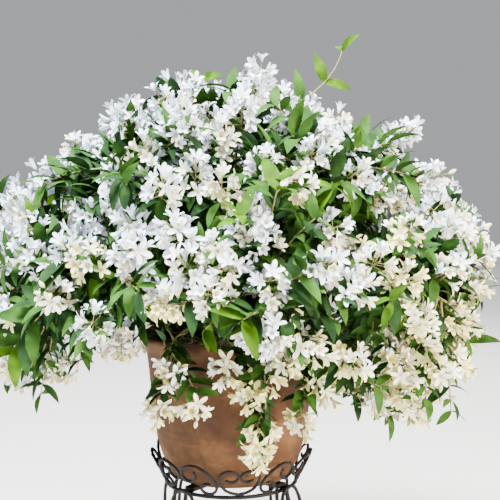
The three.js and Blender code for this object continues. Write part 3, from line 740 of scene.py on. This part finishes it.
# %% Twigs from the stems to the racemes
def twig_roots(tips, owner):
    """Where each twig leaves its stem. The tips of a mass are dealt out along it in order."""
    roots = np.zeros_like(tips)
    for index in range(len(MASSES)):
        own = np.flatnonzero(owner == index)
        order = own[np.argsort(tips[own] @ (stem_end[index] - cane_end[index]))]
        share = mix(0.12, 0.97, (np.arange(len(own)) + 0.5) / len(own))
        roots[order] = bow(cane_end[index], stem_knee[index], stem_end[index], share)
    return roots


RACHIS, LOW_RACHIS = 44.0, 31.0  # a raceme's own stalk, and that of one that hangs over the rim
twig_share = np.linspace(0, 1, 12)

# A raceme goes on from its twig, turned outwards, and droops where it hangs.
roots = twig_roots(tips, owner)
out = unit(tips - [0, 0, WAIST_Z - 100])
droop = np.where(is_hanging[owner], -0.55, 0.12)[:, None] * UP
axes = unit(unit(tips - roots) * 0.7 + out * 0.6 + droop + rng.normal(0, 0.14, tips.shape))
rachis = np.full((len(tips), 1), RACHIS)
rachis[-len(low_tips) :] = LOW_RACHIS
bases = tips - axes * rachis * 0.8
twig_length = norm(bases - roots, axis=1, keepdims=True)
twig_knee = mix(roots, bases, 0.55) + UP * (0.13 * twig_length)
twig_paths = bow(roots, twig_knee, bases, twig_share)
rachis_share = np.linspace(0, 1, 5)
rachis_paths = bow(bases, bases + axes * rachis * 0.5, tips - UP * 2, rachis_share)
twigs = together(
    bars(twig_paths, mix(1.25, 0.8, twig_share), 6),
    bars(rachis_paths[flowering], mix(0.75, 0.45, rachis_share), 5),
)

leafy_roots = twig_roots(leafy_tips, leafy_owner)
leafy_length = norm(leafy_tips - leafy_roots, axis=1, keepdims=True)
leafy_knee = mix(leafy_roots, leafy_tips, 0.55) + UP * 0.1 * leafy_length
leafy_knee[:UPRIGHT] = leafy_tips[:UPRIGHT] - [14, 0, 0] - UP * 0.4 * leafy_length[:UPRIGHT]
leafy_paths = bow(leafy_roots, leafy_knee, leafy_tips, twig_share)
leafy_twigs = bars(leafy_paths, mix(1.2, 0.6, twig_share), 6)

# %% [markdown]
# ## Flowers
#
# A raceme carries its flowers in opposite pairs, each turned a quarter from the last, on stalks
# that grow shorter towards the end. A flower has five pointed petals, some 12 mm long, each a
# grid of three points across: forty faces in all, which can be copied thousands of times.

# %% Petals and flowers
BEND_STEPS = 59


def blade(length, width, shares, blunt, sharp, rise, trough, foot=0.14):
    """A petal or a leaf that lies along x, with its upper face to +z and one point at its tip.

    Its half width at share s is proportional to s^blunt (1-s)^sharp, and at least the share
    foot of its widest. It climbs at an angle from rise[0] to rise[1] degrees, and its edges
    stand higher by trough times their distance from the midrib."""
    s = np.asarray(shares, float)
    widest = blunt / (blunt + sharp)
    peak = widest**blunt * (1 - widest) ** sharp
    half = width / 2 * np.maximum(s**blunt * (1 - s) ** sharp / peak, foot)
    fine = np.linspace(0, 1, BEND_STEPS + 1)
    angle = np.radians(mix(rise[0], rise[1], fine))
    x, z = (
        np.append(0, np.cumsum(step)[:-1]) * length / BEND_STEPS
        for step in (np.cos(angle), np.sin(angle))
    )
    along, height = np.interp(s, fine, x), np.interp(s, fine, z)
    across = np.array([-1.0, 0.0, 1.0])
    y = half[:, None] * across
    points = stack(along[:, None], y, height[:, None] + trough * np.abs(y)).reshape(-1, 3)
    points = np.vstack([points, [x[-1], 0, z[-1]]])
    tip = len(points) - 1
    end = np.array([[tip - 3, tip, tip - 2], [tip - 2, tip, tip - 1]])
    return points, [grid_faces(len(s), 3)[:, ::-1], end]


def ring_of(shape, count, inner, lift=0.0, twist=0.0):
    """Copies of a shape round the z axis, moved out by the inner radius and up by the lift."""
    angle = full_turn(count) + twist
    out = stack(np.cos(angle), np.sin(angle), 0.0)
    left = stack(-np.sin(angle), np.cos(angle), 0.0)
    axes = np.stack([out, left, np.broadcast_to(UP, out.shape)], 1)
    return scatter(shape, out * inner + UP * lift, axes, np.ones(count))


PETAL_LENGTH, PETAL_WIDTH = 11.6, 4.6
PETAL_ROWS = [0.0, 0.3, 0.6, 0.85]

# Five petals that touch at their feet: a bell with a starry mouth, cupped, open or flat.
FLOWER_KINDS = [
    ring_of(blade(PETAL_LENGTH, PETAL_WIDTH, PETAL_ROWS, 0.64, 0.56, rise, 0.3, foot=0.5), 5, 1.0)
    for rise in ((76, 42), (62, 14), (44, -6))
]
IN_BUD = len(FLOWER_KINDS)

# A bud is an oval on a short neck, pointed at its end, and the calyx is a cone behind the petals.
BUD = turned([[0.9, -2.5], [2.3, 0.6], [2.0, 3.6], [0.5, 6.4]], 5)
CALYX = turned([[0.8, -2.9], [1.9, -0.5]], 5)

# Five narrow filaments stand up 5 mm, each one pointed sliver with a pale three-sided head.
STAMENS = ring_of(blade(5.2, 1.1, [0.0], 0.5, 0.6, (74, 66), 0.0, foot=1.0), 5, 0.8, twist=0.6)
ANTHER_POINTS = np.array([[0.8, 0, -0.3], [-0.4, 0.7, -0.3], [-0.4, -0.7, -0.3], [0, 0, 0.9]])
ANTHER_SIDES = np.array([[0, 1, 3], [1, 2, 3], [2, 0, 3], [2, 1, 0]])
ANTHERS = ring_of((ANTHER_POINTS, [ANTHER_SIDES]), 5, 2.4, lift=4.9, twist=0.6)

# %% Places of the flowers on each raceme
PAIRS = 7
SITES = 2 * PAIRS + 1

# Pairs stand evenly along the raceme, on stalks of 13 mm at its foot and 7 mm at its end, and one
# more flower ends it.
side = unit(np.cross(axes, UP + 0.01))
across = np.cross(axes, side)
site = np.arange(SITES)
last = site == SITES - 1
pair = np.minimum(site // 2, PAIRS - 1)
share = np.where(last, 1.0, 0.08 + pair / PAIRS * 0.86)
angle = (pair % 2) * np.pi / 2 + (site % 2) * np.pi + rng.uniform(0, np.pi, (len(tips), 1))
angle = angle + rng.normal(0, 0.25, (len(tips), SITES))
radial = spun(side[:, None], across[:, None], angle) * np.where(last, 0.15, 1.0)[:, None]
stalk = unit(axes[:, None] * np.where(last, 1.6, 0.42)[:, None] + radial)
length = np.where(last, 5.0, mix(13.5, 7.0, share)) * rng.uniform(0.8, 1.2, angle.shape)
flower_foot = mix(bases[:, None], (tips - UP * 2)[:, None], share[:, None])
flower_centre = flower_foot + stalk * length[..., None]
face_out = unit(tips - [0, 0, WAIST_Z - 60])[:, None]
facing = unit(stalk + face_out * 0.26 + rng.normal(0, 0.2, stalk.shape))


def clear_of_pot(points, margin):
    """True where a point keeps a margin from the pot's outside."""
    height = points[..., 2] - POT_BASE_Z
    distance = np.hypot(points[..., 0], points[..., 1])
    outside = pot_radius(np.clip(height, 0, POT_HEIGHT)) + margin
    return (height > POT_HEIGHT + margin) | (distance > outside)


# A twentieth of the flowers are missing, and so are the first four on a raceme over the rim.
on_low = (np.arange(len(tips)) >= len(tips) - len(low_tips))[:, None]
present = clear_of_pot(flower_centre, 8.0) & ~(on_low & (np.arange(SITES) < 4))
present = present & (rng.random(flower_centre.shape[:2]) > 0.06) & flowering[:, None]
print("flowers", int(present.sum()))

stalk_paths = bow(
    flower_foot[present],
    (mix(flower_foot, flower_centre, 0.6) - axes[:, None])[present],
    (flower_centre - facing * 2.8)[present],
    np.linspace(0, 1, 3),
)
flower_stalks = bars(stalk_paths, 0.42, 3)

# %% [markdown]
# ## Petal colours
#
# Petals are white, with tone that differs at random from spray to spray and flower to flower.
# Cool white is painted sky light at the upper left, and cream is painted warm light and shade:
# the sprays at the lower right, underneath and over the rim are the creamiest. Three materials
# are dealt out by raceme and by flower, because a pattern wouldn't keep its place on joined meshes.

# %% Petal materials
def make_petal(name, colour, shade):
    """Thin matt tissue that lets a little light through, faintly uneven in tone."""
    petal = new_material(
        name, colour, 0.55, Subsurface_Weight=0.12, Subsurface_Scale=0.002, Specular_IOR_Level=0.3
    )
    textured(petal, (160, 2), [(0.38, shade), (0.58, colour)])
    return petal


# Three copies of one white petal: cool white for painted sky light, cream for painted warm light
# and shade.
PETALS = [
    make_petal("petal_cool_white", "#EDF4FC", "#D5E1EC"),
    make_petal("petal_white", "#F9F7E7", "#E8E4C8"),
    make_petal("petal_cream", "#F0EBB4", "#D9D392"),
]
bud_cream = make_petal("bud_greenish_cream", "#EFE9C8", "#D5D2A0")
anther_yellow = new_material("anther_pollen", "#D8C27A", 0.8)
calyx_green = new_material("calyx_grey_green", "#A9B07A", 0.7)

# Painted warm light and shade, with tone at random: warmth grows to the right and downwards,
# and most of all near these sprays, which stand in painted shade.
SHADED_SPRAYS = np.array([[-52, -176, 396], [150, -130, 445], [196, -116, 350], [-20, -150, 372]])
SHADED_REACH = 42
raceme_warmth = 0.38 + 0.16 * tips[:, 0] / HALF_WIDTH + 0.22 * (430 - tips[:, 2]) / 200
raceme_warmth += rng.normal(0, 0.14, len(tips))
in_shaded_spray = norm(tips[:, None] - SHADED_SPRAYS, axis=-1).min(1) < SHADED_REACH
raceme_warmth += np.where(in_shaded_spray, 0.26, 0)
# Painted shade: the racemes that hang over the rim, under the crown, are creamier.
raceme_warmth[-len(low_tips) :] += 0.12
# Painted shade: a flower that faces down is creamier, and each gets a little tone at random.
warmth = raceme_warmth[:, None] - 0.22 * stalk[..., 2] + rng.normal(0, 0.13, stalk.shape[:2])
colour_of_flower = np.digitize(warmth, [0.4, 0.66])

# %% Scatter the flowers
def some(mask):
    """Centres, axes and sizes of the flowers that a mask picks."""
    return centres[mask], frames[mask], sizes[mask]


# The axes of a flower: z looks the way it faces, and x and y are turned round it at random.
centres, normal = flower_centre[present], facing[present]
side = unit(np.cross(normal, [0.31, 0.17, 0.93]))
across = np.cross(normal, side)
spin = rng.uniform(0, 2 * np.pi, len(centres))
frames = np.stack([spun(side, across, spin), spun(across, -side, spin), normal], 1)
sizes = rng.uniform(0.86, 1.12, len(centres))
kind = rng.choice(len(FLOWER_KINDS), len(centres), p=[0.52, 0.36, 0.12])
colour_index = colour_of_flower[present]
is_late = rng.random(len(tips)) < 0.16  # late racemes have their last four flowers in bud
in_bud = (is_late[:, None] & (np.arange(SITES) >= SITES - 4))[present]
kind = np.where(in_bud, IN_BUD, kind)
any_kind = kind >= 0
mass_nodes = [f"mass_{name}" for name in MASSES]

for index, petal in enumerate(PETALS):
    of_colour = [
        scatter(shape, *some((colour_index == index) & (kind == k)))
        for k, shape in enumerate(FLOWER_KINDS)
    ]
    name = petal.name.replace("petal_", "petals_")
    make_piece(name, together(*of_colour), petal, mass_nodes, smooth=False)

for name, shape, material, mask in (
    ("flower_buds", BUD, bud_cream, in_bud),
    ("calyces", CALYX, calyx_green, any_kind),
    ("stamens", STAMENS, PETALS[1], ~in_bud),
    ("anthers", ANTHERS, anther_yellow, ~in_bud),
):
    make_piece(name, scatter(shape, *some(mask)), material)
shoots = together(stems, twigs, leafy_twigs, flower_stalks)
make_piece("shoots_and_flower_stalks", shoots, young_bark, mass_nodes)

# %% [markdown]
# ## Leaves
#
# The leaves stand in opposite pairs, lance-shaped, mostly 20 to 45 mm long and a third as wide,
# folded a little along the midrib, with a tip that bends down. Most are a dark, nearly matt
# green, and the youngest pairs are a bright yellow-green.

# %% Leaf places along the twigs
LEAF_LENGTH, LEAF_WIDTH = 40.0, 14.0
LEAF_ROWS = [0.0, 0.14, 0.34, 0.58, 0.8]
LEAF = blade(LEAF_LENGTH, LEAF_WIDTH, LEAF_ROWS, 0.7, 1.05, (8, -34), 0.24)
LEAF_SHARES = np.array([0.34, 0.46, 0.57, 0.68, 0.79, 0.9, 0.99])
SHOOT_SHARES = np.array([0.3, 0.42, 0.54, 0.66, 0.78, 0.89, 0.985])


def leaf_places(starts, knees, ends, shares, towards):
    """Pairs along each twig, each turned a quarter from the last. A leaf points out, half
    forwards, and its upper face looks out of the crown and in a further direction, towards."""
    count, pairs = len(starts), len(shares)
    foot = bow(starts, knees, ends, shares)
    ahead = unit(bow(starts, knees, ends, shares + 0.02) - foot)
    side = unit(np.cross(ahead, UP + 0.01))
    across = np.cross(ahead, side)
    turn = np.arange(pairs) * np.pi / 2 + rng.uniform(0, np.pi, (count, 1))
    radial = spun(side, across, turn + rng.normal(0, 0.2, (count, pairs)))
    foot, ahead = (np.repeat(a[:, :, None], 2, 2) for a in (foot, ahead))
    radial = np.stack([radial, -radial], 2)
    lean = rng.uniform(0.35, 0.75, (*radial.shape[:3], 1))
    forward = unit(radial + ahead * lean + UP * 0.05)
    away = unit(foot - [0, 0, WAIST_Z - 140])
    face = away * 0.6 + UP * 0.75 + rng.normal(0, 0.22, forward.shape) + towards[:, None, None]
    normal = unit(face - forward * (face * forward).sum(-1, keepdims=True))
    left = np.cross(normal, forward)
    return foot.reshape(-1, 3), np.stack([forward, left, normal], -2).reshape(-1, 3, 3)


of_racemes = leaf_places(roots, twig_knee, bases, LEAF_SHARES, np.zeros_like(tips))
to_front = np.zeros_like(leafy_tips)
to_front[:UPRIGHT] = [0, -3, 0]  # the shoots that stand up turn their leaves to the light
to_front[LARGEST] = [0, -2, 0]
of_shoots = leaf_places(leafy_roots, leafy_knee, leafy_tips, SHOOT_SHARES, to_front)
leaf_foot, leaf_axes = (np.vstack(pair) for pair in zip(of_racemes, of_shoots))
leaf_count = len(leaf_foot)
leaves_each = 2 * len(LEAF_SHARES)
shoot = np.repeat(np.arange(len(tips) + len(leafy_tips)), leaves_each) - len(tips)
pair_number = np.arange(leaf_count) % leaves_each // 2
upright = (shoot >= 0) & (shoot < UPRIGHT)

raceme_size, shoot_size = rng.uniform(0.56, 1.0, leaf_count), rng.uniform(0.66, 1.1, leaf_count)
leaf_size = np.where(shoot < 0, raceme_size, shoot_size)
leaf_size[upright] = rng.uniform(0.75, 1.0, upright.sum())
leaf_size[shoot == LARGEST] = 1.15
low_front = (shoot != LARGEST) & (leaf_foot[:, 2] < 385) & (leaf_foot[:, 1] < -60)
leaf_size[low_front] *= 0.76

# %% Leaf materials
def make_leaf(name, dark, middle, pale, roughness):
    """Nearly matt, with uneven green some millimetres wide and fine relief."""
    leaf = new_material(name, middle, roughness, Specular_IOR_Level=0.06)
    textured(leaf, (60, 4), [(0.35, dark), (0.68, pale), (0.52, middle)])
    bump(leaf, noise(leaf, 900, 2), 0.12, 0.0004)
    return leaf


LEAVES = [
    make_leaf("leaf_dark_green", "#182B16", "#213B1B", "#2D4A22", 0.62),
    make_leaf("leaf_mid_green", "#244217", "#31531C", "#406425", 0.6),
    make_leaf("leaf_new_green", "#294506", "#3A5D09", "#4D720F", 0.6),
]
MID_GREEN, NEW_GREEN = 1, 2

# %% Scatter the leaves
BARE_PAIRS = [2, 4, 5]  # of the upright shoots

# A leaf is kept where its foot, middle and tip are clear of the pot.
kept = ~(upright & np.isin(pair_number, BARE_PAIRS))
for share in (0.0, 0.5, 1.0):
    along = leaf_axes[:, 0] * (leaf_size * LEAF_LENGTH)[:, None]
    kept &= clear_of_pot(leaf_foot + along * share, 3.0)
youth = rng.random(len(tips) + len(leafy_tips))[shoot + len(tips)]
youth[(shoot >= 0) & (shoot < YOUNG)] = 1.0
green = np.where(rng.random(leaf_count) < 0.3 + 0.07 * pair_number, MID_GREEN, 0)
green[(youth > 0.9) & (pair_number > 4)] = NEW_GREEN
green[upright & (pair_number > 2)] = NEW_GREEN
for index, leaf in enumerate(LEAVES):
    chosen = kept & (green == index)
    shape = scatter(LEAF, leaf_foot[chosen], leaf_axes[chosen], leaf_size[chosen])
    make_piece(leaf.name.replace("leaf_", "leaves_"), shape, leaf, mass_nodes)

# %% [markdown]
# ## The wrought iron stand
#
# Each scroll is bent from one round bar and welded to a ring on four legs, each a rod with a
# narrow hoop outside it. Bars along smooth lines through the corners of the solids give the true
# curves, and a slow change of radius gives the hammered look.

# %% Painted wrought iron
# Black paint on forged bar is half matt, uneven, and worn to rust brown in small places.
painted_iron = new_material(
    "painted_wrought_iron", "#0F0E0D", 0.6, Metallic=0.1, Specular_IOR_Level=0.2
)
wear_colours = [(0.58, "#0F0E0D"), (0.76, "#3B2820"), (0.4, "#0A0909")]
wear = textured(painted_iron, (95, 6, 0.7), wear_colours)
limits = {"From Min": 0.35, "From Max": 0.75, "To Min": 0.48, "To Max": 0.8}
rough = add_node(painted_iron, "ShaderNodeMapRange", {"Value": wear, **limits})
feed(painted_iron, "Roughness", rough.outputs["Result"])
bump(painted_iron, noise(painted_iron, 260, 3), 0.5, 0.0008)

RING_RADIUS = 72
RING_BAR = 2.1
SCROLL_BAR = 1.65
LEG_BAR = 2.3
GALLERY_LEAN = 27 * DEGREE
GALLERY_UNROLL = 82  # the radius at which the outlines' widths are measured
STAND_TURN = 7 * DEGREE


def turn_stand(points, angle=0.0):
    """Turns points round the pot's axis by the stand's own turn and a further angle."""
    c, s = math.cos(STAND_TURN + angle), math.sin(STAND_TURN + angle)
    return points @ np.array([[c, s, 0], [-s, c, 0], [0, 0, 1]])


def forged(line, radius, sides, side, phase):
    """A bar whose radius is uneven by a twentieth, and rounded off at both ends."""
    steps = len(line)
    s = np.linspace(0, 1, steps)
    uneven = 1 + 0.05 * np.sin(steps * 0.9 * s + phase)
    ends = np.sqrt(np.clip(np.minimum(s, 1 - s) * steps * 0.55, 0.12, 1))
    return bars(line[None], radius * uneven * ends, sides, side)


# %% Scrolls of the gallery
HEART_HALF = [
    [1.2, 3.9], [-10, 6.8], [-17, 12], [-20.8, 21.3], [-18.6, 31], [-12, 35.6],
    [-4.6, 33.6], [-1, 27.7], [-6.6, 21], [-15, 23.5],
]
SIDE_SCROLL = [
    [-47.1, 32.4], [-47.5, 23.8], [-55.7, 17.8], [-62.3, 23], [-61.4, 31], [-53.4, 38.4],
    [-43.4, 39.8], [-31.6, 30.6], [-25.4, 18.6], [-25, 10.3], [-30.8, 4.4], [-38.4, 4.4],
    [-42.6, 9.4], [-38.9, 15.8], [-30.2, 17.6],
]


def scroll_bar(outline, steps, sideways, quarter):
    """Rolls a flat outline into the leaning gallery and carries a bar along it."""
    u, v = np.array(outline, float).T
    azimuth = quarter * np.pi / 2 + sideways * u / GALLERY_UNROLL
    radius = RING_RADIUS + v * math.sin(GALLERY_LEAN)
    line = smooth_line(around(azimuth, radius, RING_HEIGHT + v * math.cos(GALLERY_LEAN)), steps)
    azimuth = np.arctan2(line[:, 0], -line[:, 1])
    out = around(azimuth, math.cos(GALLERY_LEAN), -math.sin(GALLERY_LEAN))
    points, faces = forged(line, SCROLL_BAR, 10, out[None], quarter + sideways)
    return turn_stand(points), faces


gallery, gallery_nodes = [], []
for quarter in range(4):
    for sideways in (1, -1):
        gallery.append(scroll_bar(HEART_HALF, 70, sideways, quarter))
        gallery.append(scroll_bar(SIDE_SCROLL, 110, sideways, quarter))
    for kind in ("heart", "scroll_left", "scroll_right"):
        gallery_nodes.append(f"gallery_{kind}_{quarter + 1}")
make_piece("gallery_scrollwork", together(*gallery), painted_iron, gallery_nodes)


# %% Ring and cross bars
# The ring's path closes on itself, so it has no ends.
STEPS, SIDES = 160, 12
angle, turn = full_turn(STEPS)[:, None], full_turn(SIDES)[None]
bar = RING_BAR * (1 + 0.03 * np.sin(23 * angle))
points = around(angle, RING_RADIUS + bar * np.cos(turn), RING_HEIGHT + bar * np.sin(turn))
quads = grid_faces(STEPS + 1, SIDES, wrap=True) % (STEPS * SIDES)
round_ring = turn_stand(points.reshape(-1, 3)), [quads]


def cross_bar(turn):
    """A flat bar across the ring. Its section is a rounded rectangle, whose y and z are cos a and
    sin a to the power 0.35 with their signs, each times half its width."""
    steps, sides = 40, 24
    corner = np.array([np.cos(full_turn(sides)), np.sin(full_turn(sides))])
    y, z = np.sign(corner) * np.abs(corner) ** 0.35 * [[6], [CROSS_BAR_THICK / 2]]
    x = np.linspace(-RING_RADIUS + 1.5, RING_RADIUS - 1.5, steps)
    middle_z = RING_HEIGHT + CROSS_BAR_LIFT + CROSS_BAR_THICK / 2
    points = stack(x[:, None], y[None], middle_z + z[None]).reshape(-1, 3)
    faces = [grid_faces(steps, sides, wrap=True), end_faces(steps, sides)]
    return turn_stand(points, turn), faces


ring = together(round_ring, cross_bar(np.pi / 4), cross_bar(3 * np.pi / 4))
make_piece("ring_with_cross_bars", ring, painted_iron, ["stand_ring"])

# %% Legs
LEG_TOP_RADIUS = RING_RADIUS + RING_BAR + AIR + LEG_BAR * math.cos(math.pi / 5)
LEG_LINE = [LEG_TOP_RADIUS, RING_HEIGHT] + np.array([
    [0, 5], [0, -4], [7, -24], [9, -52], [3, -98], [2, -132], [12, -162], [25, -177.5],
])
HOOP_SIDE, HOOP_OUT = 14, 3.6  # half its width, and how far it stands outside the rod
HOOP_SHOULDER, HOOP_END = RING_HEIGHT - 9, 44


def leg_shape(index):
    """A rod along the leg's line, a hoop that stands outside it, and a round pad under it."""
    line = smooth_line(LEG_LINE, 90)
    rod_line = stack(line[:, 0], 0, line[:, 1])
    rod = forged(rod_line, LEG_BAR, 12, np.array([0.0, 1, 0]), index)

    share, angle = np.linspace(0, 1, 9), np.radians([22, 45, 68, 90])
    y = np.append(HOOP_SIDE * np.sqrt(share) + 0.4, HOOP_SIDE * np.cos(angle))
    bend_z = HOOP_SHOULDER + HOOP_SIDE * np.sin(angle)
    z = np.append(mix(HOOP_END, HOOP_SHOULDER, share), bend_z)
    half = stack(np.interp(-z, -line[:, 1], line[:, 0]) + HOOP_OUT, y, z)
    whole = np.vstack([half, (half * [1, -1, 1])[-2::-1]])
    hoop = forged(smooth_line(whole, 130), LEG_BAR * 0.85, 10, np.array([1.0, 0, 0]), index)

    pad_line = smooth_line([[7.2, 0], [8, 0.8], [8, 2.7], [7, 3.4], [3, 3.5]], 16)
    pad, pad_faces = turned(pad_line, 32)
    points, faces = together(rod, hoop, (pad + [LEG_LINE[-1, 0], 0, 0], pad_faces))
    return turn_stand(points, (index + 0.5) * np.pi / 2), faces


legs = together(*[leg_shape(index) for index in range(4)])
leg_nodes = [f"leg_{index + 1}" for index in range(4)]
make_piece("legs_with_hoops", legs, painted_iron, leg_nodes)

# %% [markdown]
# ## The size of the pieces
#
# The box round all the pieces is printed.

# %% Print the box of the pieces and finish
low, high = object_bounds()
print("visual box", [round(v, 3) for v in (*low, *high)])
